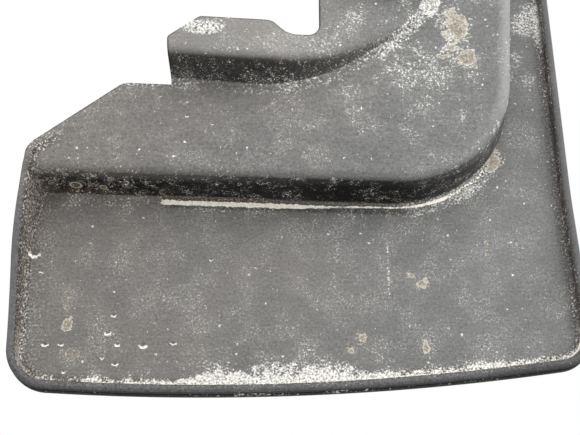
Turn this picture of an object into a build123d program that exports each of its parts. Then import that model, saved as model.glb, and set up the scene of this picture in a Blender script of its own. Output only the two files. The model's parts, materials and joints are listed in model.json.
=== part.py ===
from build123d import *
import os

# Moulded rubber mud flap for the wheel arch of a car, with the hardware that fixes it, in mm.
#
# The flap is drawn flat: x runs to the outer side of the vehicle, z runs up, and h is the
# height towards the wheel above the front face of the lower panel. TO_ROW then stands the
# drawing up: +X outer side, +Z up, -Y towards the wheel, with the origin on the middle
# screw's axis at the back of its mounting pad.

# Sheet and levels
PANEL_T = 3.5            # lower panel
WALL_T = 4.0             # raised shelves and their walls
LOWER_SHELF_H = 28.0     # front face of the lower shelf
UPPER_SHELF_H = 50.0     # front face of the upper shelf
LOWER_DRAFT_DEG = 5.0    # lean of the lower shelf's walls
UPPER_DRAFT_DEG = 12.0   # lean of the upper shelf's walls
SHELF_EDGE_R = 4.5       # rounded edge along the top of each shelf wall

# The upper shelf's face falls away to the outer side, down to the lower shelf's level, except
# on the flat land that the screws go through.
FALL_START_X = -10.0
FALL_END_X = 72.0
LAND_Z = 115.0

# Edge lip
LIP_W = 4.7
LIP_H = 6.5
LIP_RAMP_FOOT_Z = -85.0  # the left lip climbs from here ...
LIP_RAMP_TOP_Z = 18.0    # ... to the lower shelf's height here
LIP_LEFT_END_Z = 24.0
LIP_RIGHT_END_Z = 196.0

# Flex line: the lower flap bends about an axis along X
FLEX_Z = -20.0
FLEX_H = 6.0
FLEX_R = 14.0
FLEX_GAP = 0.3

# Fixings
PAD_R = 13.0
PAD_T = 2.0
SLEEVE_R = 5.0
SLEEVE_BORE_R = 3.3
STRIP_T = 2.0
STRIP_W = 26.0
STRIP_END = 12.0         # strip beyond the end screws
STRIP_CORNER_R = 8.0
WASHER_T = 1.6
WASHER_BORE_R = 3.2
WASHER_R = 6.0
PENNY_WASHER_R = 9.0
SPRING_WASHER_R = 5.9
SPRING_WASHER_BORE_R = 3.05
SPRING_WASHER_GAP = 1.2
SPRING_WASHER_CUT_DEG = 20.0
HEAD_ACROSS_FLATS = 10.0
HEAD_T = 4.0
HEAD_FLAT_R = 4.9        # flat circle on top of the head, inside the chamfer ...
HEAD_CONE_R = 9.4        # ... whose cone is this wide at the underside
THREAD_R = 3.0
SHANK_R = 2.7            # plain shank, the thread's pitch radius
SCREW_LENGTH = 25.0
TIP_CHAMFER = 0.5
STRIP_X = 34.0
STRIP_SCREW_Z = [135.0, 162.0, 189.0]
OUTER_SCREW = (64.0, 202.0)

PAD_BACK_H = UPPER_SHELF_H - WALL_T - PAD_T
SCREW_PLACES = [(STRIP_X, z) for z in STRIP_SCREW_Z] + [OUTER_SCREW]
ORIGIN_X, ORIGIN_Z = SCREW_PLACES[1]
TO_ROW = Plane(origin=(-ORIGIN_X, PAD_BACK_H, -ORIGIN_Z), x_dir=(1, 0, 0), z_dir=(0, -1, 0)).location

# Corners of the closed outlines, each (x, z, corner radius)
OUTLINE = [
    (-139.9, -90.8, 21.0),    # bottom left
    (7.0, -99.5, 1250.0),     # the bottom edge bows down
    (151.1, -79.3, 18.0),     # bottom right
    (146.1, 10.0, 600.0),
    (143.3, 150.0, 150.0),
    (127.0, 222.0, 20.0),     # top right
    (26.0, 222.0, 14.0),      # top left
    (15.0, 160.0, 200.0),
    (15.0, 83.4, 7.0),        # notch between the wing and the tab
    (-1.0, 81.5, 11.0),
    (-9.2, 88.4, 7.0),
    (-46.0, 90.8, 4.0),       # tab
    (-62.2, 79.0, 3.0),
    (-61.5, 63.2, 0.5),
    (-86.3, 64.4, 9.0),       # top of the diagonal edge
    (-133.6, 28.8, 13.0),     # foot of the diagonal edge
    (-140.4, -12.0, 200.0),
]
# The shelves' feet. Past the outline they only have to reach far enough to be trimmed.
FAR = 290.0
LOWER_SHELF = [
    (-190.0, 16.0, 1.0),
    (112.3, 5.2, 62.0),       # sweep up the outer side
    (122.5, 140.0, 150.0),
    (106.0, FAR, 1.0),
    (-190.0, FAR, 1.0),
]
UPPER_SHELF = [
    (-120.0, 71.5, 1.0),
    (9.6, 60.9, 90.0),        # turn to a 34 degree climb
    (58.6, 93.5, 40.0),       # and to a 52 degree one
    (87.0, 130.4, 40.0),      # turn up the wing
    (88.0, 200.0, 150.0),
    (74.0, FAR, 1.0),
    (-120.0, FAR, 1.0),
]

# Trimming blocks reach past the flap on every side
SIDE = 160.0
BELOW = -120.0
DEEP = 100.0
RIGHT_LIP_X = 100.0      # the outline right of here is the outer side
OVERLAP = 0.5            # joined blocks run this far into each other


def outline_face(corners):
    """A face whose outline is a polygon with rounded corners."""
    points = [(x, z) for x, z, radius in corners]
    radii = [radius for x, z, radius in corners]
    return make_face(FilletPolyline(*points, radius=radii, close=True))


def raised(face, bottom, top, taper=0.0):
    """The face extruded between two heights."""
    return extrude(Pos(0, 0, bottom) * face, amount=top - bottom, taper=taper)


def slab(x_min, x_max, z_min, z_max, h_min, h_max):
    size = (x_max - x_min, z_max - z_min, h_max - h_min)
    return Pos(x_min, z_min, h_min) * Box(*size, align=(Align.MIN, Align.MIN, Align.MIN))


def shelf_block(corners, bottom, top, draft):
    """Drafted block whose top edge is rounded, but for the far left and far top sides, which
    lie past the outline."""
    block = raised(outline_face(corners), bottom, top, draft)
    rim = block.faces().sort_by(Axis.Z)[-1].edges()
    left = min((e @ 0.5).X for e in rim)
    far = max((e @ 0.5).Y for e in rim)
    walls = [e for e in rim if (e @ 0.5).X > left + SHELF_EDGE_R and (e @ 0.5).Y < far - SHELF_EDGE_R]
    return fillet(walls, SHELF_EDGE_R)


def lip():
    """Lip round the left, bottom and right edges; on the left it climbs to the lower shelf."""
    whole = outline_face(OUTLINE)
    ring = whole - offset(whole, -LIP_W)
    bottom = slab(-SIDE, SIDE, BELOW, 0, -PANEL_T, LIP_H)
    right = slab(RIGHT_LIP_X, SIDE, BELOW, LIP_RIGHT_END_Z, -PANEL_T, LIP_H)
    low = raised(ring, -PANEL_T, LIP_H) & (bottom + right)
    climb = LIP_RAMP_TOP_Z - LIP_RAMP_FOOT_Z
    rise = LOWER_SHELF_H - LIP_H
    steps = 8
    ramp = [(LIP_RAMP_FOOT_Z + climb * i / steps, LIP_H + rise * (i / steps) ** 2) for i in range(steps + 1)]
    side = Plane.YZ.offset(-SIDE) * make_face(
        Polyline(
            (LIP_RAMP_FOOT_Z, -PANEL_T),
            (LIP_LEFT_END_Z, -PANEL_T),
            (LIP_LEFT_END_Z, LOWER_SHELF_H),
            *reversed(ramp),
            close=True,
        )
    )
    tall = raised(ring, -PANEL_T, LOWER_SHELF_H) & extrude(side, amount=SIDE - RIGHT_LIP_X)
    return low + tall


def above_fall(sink, land_z):
    """Everything above the falling face, sunk by a depth, as far as the land's lower side."""
    top = UPPER_SHELF_H - sink
    foot = LOWER_SHELF_H - sink
    fall = [(FALL_START_X, top), (FALL_END_X, foot), (SIDE, foot)]
    side = make_face(Polyline(*fall, (SIDE, DEEP), (FALL_START_X, DEEP), close=True))
    return extrude(Plane.XZ.offset(-land_z) * side, amount=land_z - BELOW)


def moulding():
    """The whole rubber moulding, before it is cut at the flex line."""
    outline = outline_face(OUTLINE)
    panel = raised(outline, -PANEL_T, 0)
    body = panel + shelf_block(LOWER_SHELF, 0, LOWER_SHELF_H, LOWER_DRAFT_DEG)
    lower_top = LOWER_SHELF_H - WALL_T
    upper_top = UPPER_SHELF_H - WALL_T
    upper_block = shelf_block(UPPER_SHELF, LOWER_SHELF_H, UPPER_SHELF_H, UPPER_DRAFT_DEG)
    body += upper_block - above_fall(0, LAND_Z)
    body -= raised(offset(outline_face(LOWER_SHELF), -WALL_T), -PANEL_T, lower_top, LOWER_DRAFT_DEG)
    hollow = raised(offset(outline_face(UPPER_SHELF), -WALL_T), lower_top, upper_top, UPPER_DRAFT_DEG)
    body -= hollow - above_fall(WALL_T, LAND_Z + WALL_T)
    body = body & raised(outline, -PANEL_T, UPPER_SHELF_H)
    body += lip()
    for x, z in SCREW_PLACES:
        body += Pos(x, z, PAD_BACK_H) * disc(PAD_R, PAD_T + OVERLAP)
        body -= Pos(x, z, 0) * Cylinder(SLEEVE_R, 3 * UPPER_SHELF_H)
    return body


def flex_cylinder(radius):
    return Pos(0, FLEX_Z, FLEX_H) * Rot(0, 90, 0) * Cylinder(radius, 2 * SIDE)


def disc(radius, thickness):
    """Disc that stands on h = 0."""
    return Cylinder(radius, thickness, align=(Align.CENTER, Align.CENTER, Align.MIN))


def ring_solid(outer_r, bore_r, thickness):
    return disc(outer_r, thickness) - Cylinder(bore_r, 3 * thickness)


def spring_washer():
    """Split ring; the cut leans as on a real spring washer."""
    middle_r = (SPRING_WASHER_R + SPRING_WASHER_BORE_R) / 2
    cut = Box(SPRING_WASHER_R, SPRING_WASHER_GAP, 3 * WASHER_T)
    cut = Pos(middle_r, 0, WASHER_T / 2) * Rot(SPRING_WASHER_CUT_DEG, 0, 0) * cut
    return ring_solid(SPRING_WASHER_R, SPRING_WASHER_BORE_R, WASHER_T) - cut


def screw():
    """Hex screw, head up, with the underside of its head at h = 0."""
    head = extrude(RegularPolygon(HEAD_ACROSS_FLATS / 2, 6, major_radius=False), amount=HEAD_T)
    head = head & Cone(HEAD_CONE_R, HEAD_FLAT_R, HEAD_T, align=(Align.CENTER, Align.CENTER, Align.MIN))
    plain_length = SCREW_LENGTH - thread_length()
    shank = Pos(0, 0, -plain_length) * disc(SHANK_R, plain_length + OVERLAP)
    thread = disc(THREAD_R, thread_length())
    thread = chamfer(thread.edges().sort_by(Axis.Z)[0], TIP_CHAMFER)
    return head + shank + Pos(0, 0, -SCREW_LENGTH) * thread


def thread_length():
    """Threaded end, which starts at the back of the mounting pad on the screws in the strip."""
    under_head = PAD_T + WALL_T + STRIP_T + 2 * WASHER_T
    return SCREW_LENGTH - under_head


def strip():
    """Steel strip that spreads the load of the row of screws."""
    length = STRIP_SCREW_Z[-1] - STRIP_SCREW_Z[0] + 2 * STRIP_END
    plate = extrude(RectangleRounded(STRIP_W, length, STRIP_CORNER_R), amount=STRIP_T)
    plate = Pos(STRIP_X, (STRIP_SCREW_Z[0] + STRIP_SCREW_Z[-1]) / 2, UPPER_SHELF_H) * plate
    for z in STRIP_SCREW_Z:
        plate -= Pos(STRIP_X, z, UPPER_SHELF_H) * Cylinder(SLEEVE_BORE_R, 3 * STRIP_T)
    return plate


whole = moulding()
below = slab(-SIDE, SIDE, BELOW, FLEX_Z, -DEEP, DEEP)
parts = {
    "lower_flap": whole & (below + flex_cylinder(FLEX_R)),
    "upper_moulding": whole - below - flex_cylinder(FLEX_R + FLEX_GAP),
    "retaining_strip": strip(),
}
for number, (x, z) in enumerate(SCREW_PLACES, start=1):
    under_strip = z in STRIP_SCREW_Z and x == STRIP_X
    seat = UPPER_SHELF_H + (STRIP_T if under_strip else 0)
    washer_r = WASHER_R if under_strip else PENNY_WASHER_R
    parts[f"sleeve_{number}"] = Pos(x, z, PAD_BACK_H) * ring_solid(SLEEVE_R, SLEEVE_BORE_R, PAD_T + WALL_T)
    parts[f"plain_washer_{number}"] = Pos(x, z, seat) * ring_solid(washer_r, WASHER_BORE_R, WASHER_T)
    parts[f"spring_washer_{number}"] = Pos(x, z, seat + WASHER_T) * spring_washer()
    parts[f"screw_{number}"] = Pos(x, z, seat + 2 * WASHER_T) * screw()

os.makedirs("parts", exist_ok=True)
for name, solid in parts.items():
    placed = TO_ROW * solid
    export_step(placed, f"parts/{name}.step")
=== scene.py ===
import json
import math

import bmesh
import bpy
import numpy as np
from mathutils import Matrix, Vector
from mathutils.geometry import delaunay_2d_cdt


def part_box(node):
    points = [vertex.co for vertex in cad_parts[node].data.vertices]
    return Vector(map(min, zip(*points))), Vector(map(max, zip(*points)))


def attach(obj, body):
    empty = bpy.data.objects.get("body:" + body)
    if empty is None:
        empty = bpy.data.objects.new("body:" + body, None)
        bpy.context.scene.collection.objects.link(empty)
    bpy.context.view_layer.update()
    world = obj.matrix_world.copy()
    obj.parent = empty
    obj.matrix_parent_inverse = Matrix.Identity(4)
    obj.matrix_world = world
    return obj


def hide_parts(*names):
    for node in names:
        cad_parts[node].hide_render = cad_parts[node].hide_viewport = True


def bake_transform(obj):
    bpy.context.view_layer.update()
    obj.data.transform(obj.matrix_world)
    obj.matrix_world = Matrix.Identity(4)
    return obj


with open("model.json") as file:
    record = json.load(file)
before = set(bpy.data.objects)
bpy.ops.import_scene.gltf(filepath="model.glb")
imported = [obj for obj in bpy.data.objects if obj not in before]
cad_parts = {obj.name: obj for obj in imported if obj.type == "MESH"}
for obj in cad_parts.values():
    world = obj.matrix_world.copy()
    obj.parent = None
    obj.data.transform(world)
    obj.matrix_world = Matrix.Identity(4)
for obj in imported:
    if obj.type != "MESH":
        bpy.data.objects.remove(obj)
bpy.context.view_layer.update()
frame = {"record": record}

RECORD = frame["record"]
MM = 0.001

# ---- The drawing, in mm ----
# x runs to the outer side, z up, and h towards the wheel from the lower panel's front face. The
# record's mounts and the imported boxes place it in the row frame.
PANEL_T = 3.5
WALL_T = 4.0
LOWER_SHELF_H = 28.0
UPPER_SHELF_H = 50.0
LOWER_DRAFT = math.radians(5.0)
UPPER_DRAFT = math.radians(12.0)
SHELF_EDGE_R = 4.5
INNER_EDGE_R = 2.5
FALL_START_X = -10.0      # the upper shelf's face falls from here ...
FALL_END_X = 72.0         # ... to the lower shelf's level here, but not on the land
LAND_Z = 115.0
LAND_DRAFT = math.radians(5.0)
LAND_EDGE_R = 1.5
LIP_W = 4.7
LIP_H = 6.5
LIP_DRAFT = math.radians(8.0)
LIP_INNER_R = 1.5
LIP_RAMP_FOOT_Z = -85.0
LIP_RAMP_TOP_Z = 18.0
LIP_LEFT_END_Z = 24.0
LIP_LEFT_FADE = 3.0
LIP_RIGHT_END_Z = 196.0
LIP_RIGHT_FADE = 14.0
LEFT_SIDE_X = -100.0      # the outline's left side lies left of this ...
RIGHT_SIDE_X = 60.0       # ... and its outer side right of this
PAD_R = 13.0
PAD_T = 2.0
PAD_EDGE = 0.6
SLEEVE_R = 5.0
WING_TOP_Z = 222.0
FAR_Z = 290.0             # the shelves' foot lines close up here, above the moulding
ORIGIN_X = 34.0           # the drawing's x on the middle strip screw's axis

OUTLINE = [
    (-139.9, -90.8, 21.0),    # bottom left
    (7.0, -99.5, 1250.0),     # the bottom edge bows down
    (151.1, -79.3, 18.0),     # bottom right
    (146.1, 10.0, 600.0),
    (143.3, 150.0, 150.0),
    (127.0, WING_TOP_Z, 20.0),
    (26.0, WING_TOP_Z, 14.0),
    (15.0, 160.0, 200.0),
    (15.0, 83.4, 7.0),        # notch between the wing and the tab
    (-1.0, 81.5, 11.0),
    (-9.2, 88.4, 7.0),
    (-46.0, 90.8, 4.0),       # tab
    (-62.2, 79.0, 3.0),
    (-61.5, 63.2, 0.5),
    (-86.3, 64.4, 9.0),       # top of the diagonal edge
    (-133.6, 28.8, 13.0),     # foot of the diagonal edge
    (-140.4, -12.0, 200.0),
]
LOWER_SHELF = [
    (-190.0, 16.0, 1.0),
    (112.3, 5.2, 62.0),       # sweep up the outer side
    (122.5, 140.0, 150.0),
    (106.0, FAR_Z, 1.0),
    (-190.0, FAR_Z, 1.0),
]
UPPER_SHELF = [
    (-120.0, 71.5, 1.0),
    (9.6, 60.9, 90.0),        # turn to a 34 degree climb
    (58.6, 93.5, 40.0),       # and to a 52 degree one
    (87.0, 130.4, 40.0),      # turn up the wing
    (88.0, 200.0, 150.0),
    (74.0, FAR_Z, 1.0),
    (-120.0, FAR_Z, 1.0),
]

STUDS = [m for m in RECORD["mounts"] if m["kind"] == "pin"]
# The panel's back face is the flap's furthest plane in +Y, and the wing's top edge its highest.
PANEL_FRONT_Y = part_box("lower_flap")[1].y / MM - PANEL_T
ORIGIN_Z = WING_TOP_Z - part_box("upper_moulding")[1].z / MM


def to_row(points, heights):
    """Drawing points (x, z) and heights h in mm, as row frame coordinates in metres."""
    points = np.asarray(points, float)
    x = points[:, 0] - ORIGIN_X
    z = points[:, 1] - ORIGIN_Z
    return np.column_stack([x, PANEL_FRONT_Y - np.asarray(heights, float), z]) * MM


def stud_place(stud):
    """A stud's axis on the drawing: x and z in mm."""
    return stud["pos_m"][0] / MM + ORIGIN_X, stud["pos_m"][2] / MM + ORIGIN_Z


# ---- Plane curves ----
ARC_ERROR = 0.004         # how far the fewest points may leave an arc, in mm
CHUNK = 512               # points measured at a time, to spare memory


def rounded(corners, step=None):
    """Closed outline of a polygon with rounded corners, as points about step apart, or with no
    step as few points as follow the arcs within ARC_ERROR."""
    count = len(corners)
    ends = []
    for i, (x, z, radius) in enumerate(corners):
        here = np.array([x, z])
        before = np.array(corners[i - 1][:2]) - here
        after = np.array(corners[(i + 1) % count][:2]) - here
        u = before / np.linalg.norm(before)
        v = after / np.linalg.norm(after)
        half = math.acos(np.clip(u @ v, -1, 1)) / 2
        centre = here + (u + v) / np.linalg.norm(u + v) * radius / math.sin(half)
        reach = radius / math.tan(half)
        ends.append((here + u * reach, here + v * reach, centre, radius, math.pi - 2 * half))
    points = []
    for i, (start, end, centre, radius, turn) in enumerate(ends):
        arc_step = step or math.sqrt(8 * radius * ARC_ERROR)
        arc_steps = max(3, math.ceil(radius * turn / arc_step))
        a0 = math.atan2(*(start - centre)[::-1])
        a1 = math.atan2(*(end - centre)[::-1])
        sweep = (a1 - a0 + math.pi) % (2 * math.pi) - math.pi
        for k in range(arc_steps + 1):
            a = a0 + sweep * k / arc_steps
            points.append(centre + radius * np.array([math.cos(a), math.sin(a)]))
        gap = ends[(i + 1) % count][0] - end
        line_steps = math.ceil(np.linalg.norm(gap) / step) if step else 1
        for k in range(1, line_steps):
            points.append(end + gap * k / line_steps)
    return np.array(points)


def inward_normals(loop):
    """Unit normals of a counter-clockwise loop, pointing inside."""
    ahead = np.roll(loop, -1, axis=0) - np.roll(loop, 1, axis=0)
    ahead /= np.linalg.norm(ahead, axis=1)[:, None]
    return np.column_stack([-ahead[:, 1], ahead[:, 0]])


def depth_inside(points, loop):
    """Distance of each point from the loop, positive inside it."""
    points = np.asarray(points, float)
    ax, az = loop.T
    bx, bz = np.roll(loop, -1, axis=0).T
    run_x, run_z = bx - ax, bz - az
    length2 = run_x**2 + run_z**2
    slope = run_x / np.where(run_z == 0, 1, run_z)
    result = np.empty(len(points))
    for lo in range(0, len(points), CHUNK):
        to_x = points[lo:lo + CHUNK, :1] - ax
        to_z = points[lo:lo + CHUNK, 1:] - az
        share = np.clip((to_x * run_x + to_z * run_z) / length2, 0, 1)
        best = ((to_x - share * run_x) ** 2 + (to_z - share * run_z) ** 2).min(1)
        crosses = (to_z < 0) != (to_z < run_z)
        inside = (crosses & (to_x < to_z * slope)).sum(1) % 2 == 1
        result[lo:lo + CHUNK] = np.where(inside, 1, -1) * np.sqrt(best)
    return result


def smooth_step(value, low, high):
    """0 up to low and 1 from high on."""
    t = np.clip((np.asarray(value, float) - low) / (high - low), 0, 1)
    return t * t * (3 - 2 * t)


def smooth_max(a, b, soft):
    """The larger of two heights, rounded where they are within soft of each other."""
    gap = np.clip(0.5 + 0.5 * (a - b) / soft, 0, 1)
    return b + (a - b) * gap + soft * gap * (1 - gap)


def edge_drop(out, radius, draft):
    """How far a drafted wall with a rounded top edge lies below that top, out mm past its start."""
    out = np.maximum(out, 0)
    turn = radius * math.cos(draft)
    arc = radius - np.sqrt(np.maximum(radius**2 - np.minimum(out, turn) ** 2, 0))
    return arc + np.maximum(out - turn, 0) / math.tan(draft)


def edge_run(height, radius, draft):
    """Horizontal run of such a wall of that height."""
    return radius * math.cos(draft) + (height - radius + radius * math.sin(draft)) * math.tan(draft)


# ---- Front and back heights of the moulding over the drawing ----
OUTLINE_LOOP = rounded(OUTLINE, 0.8)
OUTLINE_NORMAL = inward_normals(OUTLINE_LOOP)
LOWER_LOOP = rounded(LOWER_SHELF, 2.0)
UPPER_LOOP = rounded(UPPER_SHELF, 2.0)
OUTLINE_FEW = rounded(OUTLINE)
LOWER_FEW = rounded(LOWER_SHELF)
UPPER_FEW = rounded(UPPER_SHELF)
UPPER_RISE = UPPER_SHELF_H - LOWER_SHELF_H
LOWER_RUN = edge_run(LOWER_SHELF_H, SHELF_EDGE_R, LOWER_DRAFT)
UPPER_RUN = edge_run(UPPER_RISE, SHELF_EDGE_R, UPPER_DRAFT)
LAND_RUN = edge_run(UPPER_RISE, LAND_EDGE_R, LAND_DRAFT)
LOWER_RUN_INSIDE = edge_run(LOWER_SHELF_H + PANEL_T - WALL_T, INNER_EDGE_R, LOWER_DRAFT)
UPPER_RUN_INSIDE = edge_run(UPPER_RISE, INNER_EDGE_R, UPPER_DRAFT)
LIP_TRACE = 0.02          # a smaller share of the lip is none
FAR_BELOW = -30.0         # a lip this low is none either
LIP_BLEND = 0.8           # how softly the lip meets the lower shelf's wall ...
STEP_BLEND = 1.6          # ... and the upper shelf's wall meets the lower shelf
STEP_REACH = 6.0          # how far outside its foot line the upper shelf's blend can reach
SIDE_WALL_EDGE = 0.5      # the width over which the solid left side drops to the hollow
FALL_BLEND = 0.06         # how softly the face starts to fall, as a share of the fall


def lip_share(x, z):
    """1 where the outline carries the lip, 0 on the plain sheet edges."""
    left_end, right_end = LIP_LEFT_END_Z, LIP_RIGHT_END_Z
    left = (x < 0) * (1 - smooth_step(z, left_end - LIP_LEFT_FADE, left_end + LIP_LEFT_FADE))
    right = (x > RIGHT_SIDE_X) * (1 - smooth_step(z, right_end - LIP_RIGHT_FADE, right_end))
    return left + right + (x >= 0) * (x <= RIGHT_SIDE_X) * (z < 0)


def lip_height(x, z):
    """The lip's height: up the left side it climbs to meet the lower shelf."""
    climb = np.clip((z - LIP_RAMP_FOOT_Z) / (LIP_RAMP_TOP_Z - LIP_RAMP_FOOT_Z), 0, 1)
    left = LIP_H + (LOWER_SHELF_H - LIP_H) * climb**2
    return np.where((x < LEFT_SIDE_X) & (z > LIP_RAMP_FOOT_Z), left, LIP_H)


def flange_height(x, z, foot_z):
    """The upper shelf's face: it falls to the outer side, but for the land above foot_z."""
    share = (x - FALL_START_X) / (FALL_END_X - FALL_START_X)
    fall = np.minimum(smooth_max(share, 0.0, FALL_BLEND), 1.0) * UPPER_RISE
    land = edge_drop(LAND_RUN - (z - foot_z), LAND_EDGE_R, LAND_DRAFT)
    return UPPER_SHELF_H - np.minimum(fall, land)


def front_height(points, depth, lower, upper):
    """h of the front face at points that far inside the outline and the shelves' foot lines."""
    x, z = points[:, 0], points[:, 1]
    shelf = np.maximum(LOWER_SHELF_H - edge_drop(LOWER_RUN - lower, SHELF_EDGE_R, LOWER_DRAFT), 0)
    lip = lip_height(x, z) - edge_drop(depth - (LIP_W - LIP_INNER_R), LIP_INNER_R, LIP_DRAFT)
    lip = np.where(lip_share(x, z) > LIP_TRACE, lip, 2 * FAR_BELOW)
    base = np.where(lip < FAR_BELOW, shelf, smooth_max(shelf, lip, LIP_BLEND))
    flange = flange_height(x, z, LAND_Z)
    run = edge_run(flange - LOWER_SHELF_H, SHELF_EDGE_R, UPPER_DRAFT)
    step = flange - edge_drop(run - upper, SHELF_EDGE_R, UPPER_DRAFT)
    return np.where(upper > -STEP_REACH, smooth_max(step, base, STEP_BLEND), base)


def back_height(points, depth, lower, upper):
    """h of the back face, which follows the front a wall's thickness behind it."""
    x, z = points[:, 0], points[:, 1]
    out = LOWER_RUN_INSIDE - (lower - WALL_T)
    under = LOWER_SHELF_H - WALL_T - edge_drop(out, INNER_EDGE_R, LOWER_DRAFT)
    under = np.maximum(under, -PANEL_T)
    flange = flange_height(x, z, LAND_Z + WALL_T)
    run = edge_run(flange - LOWER_SHELF_H, INNER_EDGE_R, UPPER_DRAFT)
    step = flange - WALL_T - edge_drop(run - (upper - WALL_T), INNER_EDGE_R, UPPER_DRAFT)
    under = np.where(upper > -2, np.maximum(step, under), under)
    side_wall = (x < LEFT_SIDE_X) * (1 - smooth_step(z, LIP_LEFT_END_Z - 1, LIP_LEFT_END_Z + 3))
    side_wall = side_wall * (1 - smooth_step(depth, LIP_W, LIP_W + SIDE_WALL_EDGE))
    under = under + (-PANEL_T - under) * side_wall
    pad_h = UPPER_SHELF_H - WALL_T - PAD_T
    for stud in STUDS:
        stud_x, stud_z = stud_place(stud)
        away = np.hypot(x - stud_x, z - stud_z)
        under = under + (pad_h - under) * (1 - smooth_step(away, PAD_R - PAD_EDGE, PAD_R))
    return under


# ---- The moulding's mesh ----
# Rows of the edge from the front face round to the back: (inset, how far below the top) for the
# upper rows and (inset, how far above the back) for the lower ones.
SHEET_TOP_ROWS = [
    (0.7, 0.0), (0.3, 0.12), (0.08, 0.35), (0.0, 0.7), (0.0, 1.2), (0.0, 1.5), (0.0, 1.8),
]
SHEET_BACK_ROWS = [(0.0, 1.3), (0.0, 0.9), (0.0, 0.6), (0.25, 0.12), (0.7, 0.0)]
LIP_TOP_ROWS = [(2.2, 0.0), (1.35, 0.16), (0.75, 0.55), (0.4, 1.1), (0.3, 1.8), (0.45, 3.2), (1.5, 4.3)]
LIP_BACK_ROWS = [(1.7, 4.2), (0.35, 3.3), (0.0, 2.8), (0.1, 0.25), (0.5, 0.0)]
SHEET_INSET = 0.7         # where both faces end on the plain sheet, in from the outline
LIP_INSET_MORE = 1.5      # how much further in the front face ends on the lip ...
LIP_BACK_INSET_LESS = 0.2     # ... and how much less far the back face does
HOLE_CLEAR = 0.4          # lines and free points keep this far off the sleeves' holes ...
RIM_CLEAR = 1.2           # ... and the upper shelf's lines this far inside the outline
LIP_CLEAR = 2.6           # the lower shelf's lines and the lip's stay clear of the lip's rounding
FOOT_CLEAR = 0.5          # the land's lines keep this far off the upper shelf's foot
SLEEVE_POINTS = 40
PAD_POINTS = 72
GRID_PITCH = 4.0
LAND_PITCH = 1.5
LAND_ROWS = np.array([-1.0, -0.1, 0.1, 0.6, 1.2, 1.9, 2.3, 2.7, 3.0, 3.3, 3.6, 4.4])
LIP_ROWS = [3.2, 3.6, 4.1, 4.5, LIP_W, 5.0, 5.4, 5.9, 6.6, 7.4, 8.4]


def offset_runs(loop, offsets, keep, spacing=1):
    """Open runs of the loop moved inward by each offset, where keep(points) holds."""
    normal = inward_normals(loop)
    runs = []
    for offset in offsets:
        runs += kept_runs((loop + normal * offset)[::spacing], keep)
    return runs


def kept_runs(line, keep):
    """The stretches of a line of points where keep(points) holds."""
    runs = [[]]
    for point, ok in zip(line, keep(line)):
        if ok:
            runs[-1].append(point)
        elif runs[-1]:
            runs.append([])
    return [r for r in runs if len(r) > 1]


def land_runs(foot_z, keep):
    """Lines along the land's lower wall."""
    x = np.arange(10.0, 100.0, LAND_PITCH)
    runs = []
    for rise in LAND_ROWS:
        runs += kept_runs(np.column_stack([x, np.full(len(x), foot_z + rise)]), keep)
    return runs


def grid(low_x, high_x, low_z, high_z, pitch):
    """Points pitch apart over a rectangle."""
    x, z = np.meshgrid(np.arange(low_x, high_x, pitch), np.arange(low_z, high_z, pitch))
    return np.column_stack([x.ravel(), z.ravel()])


def circle(x, z, radius, count):
    a = np.arange(count) * 2 * math.pi / count
    return np.column_stack([x + radius * np.cos(a), z + radius * np.sin(a)])


def triangulate(border, holes, runs, loose):
    """Triangles between the border and the holes that keep every run as edges: their points,
    their faces and the numbers of the points on the border and the holes."""
    points, edges = [], []

    def add(chain, closed):
        first = len(points)
        points.extend(Vector(p) for p in chain)
        edges.extend((first + i, first + i + 1) for i in range(len(chain) - 1))
        if closed:
            edges.append((first + len(chain) - 1, first))

    for chain in [border, *holes]:
        add(chain, True)
    rim_count = len(points)
    for run in runs:
        add(run, False)
    points.extend(Vector(p) for p in loose)
    made, _, faces, origin, _, _ = delaunay_2d_cdt(points, edges, [], 0, 1e-4, True)
    made = np.array([tuple(p) for p in made])
    faces = np.array([f for f in faces if len(f) == 3])
    middle = made[faces].mean(axis=1)
    keep = depth_inside(middle, border) > 0
    for hole in holes:
        keep &= depth_inside(middle, hole) < 0
    where = {}
    for new, olds in enumerate(origin):
        for old in olds:
            if old < rim_count:
                where[old] = new
    return made, faces[keep], np.array([where[i] for i in range(rim_count)])


def clear_of(holes, margin):
    """A test for points that lie that far inside the outline and clear of the holes."""
    def test(points):
        ok = depth_inside(points, OUTLINE_FEW) > margin
        for hole in holes:
            ok &= depth_inside(points, hole) < -HOLE_CLEAR
        return ok
    return test


def shelf_rows(run, draft):
    """Insets from a shelf's foot line that follow its wall and rounded edge on the front."""
    wall = run - SHELF_EDGE_R * math.cos(draft)
    rounding = [run - SHELF_EDGE_R * math.sin(a) for a in np.radians(np.arange(0, 80, 9))]
    foot = [-2.4, -1.2, -0.5, -0.15, 0, 0.15, 0.4, 0.8, 1.5]
    return [*foot, *np.linspace(2.2, wall, 5), *rounding, run + 1]


def hollow_rows(run):
    """The same for the hollow behind a shelf."""
    rounding = np.linspace(run - INNER_EDGE_R, run, 6)
    wall = np.linspace(0.3, run - INNER_EDGE_R - 0.3, 4)
    return [WALL_T + s for s in [-1.0, -0.2, 0, *wall, *rounding, run + 1.2]]


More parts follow.
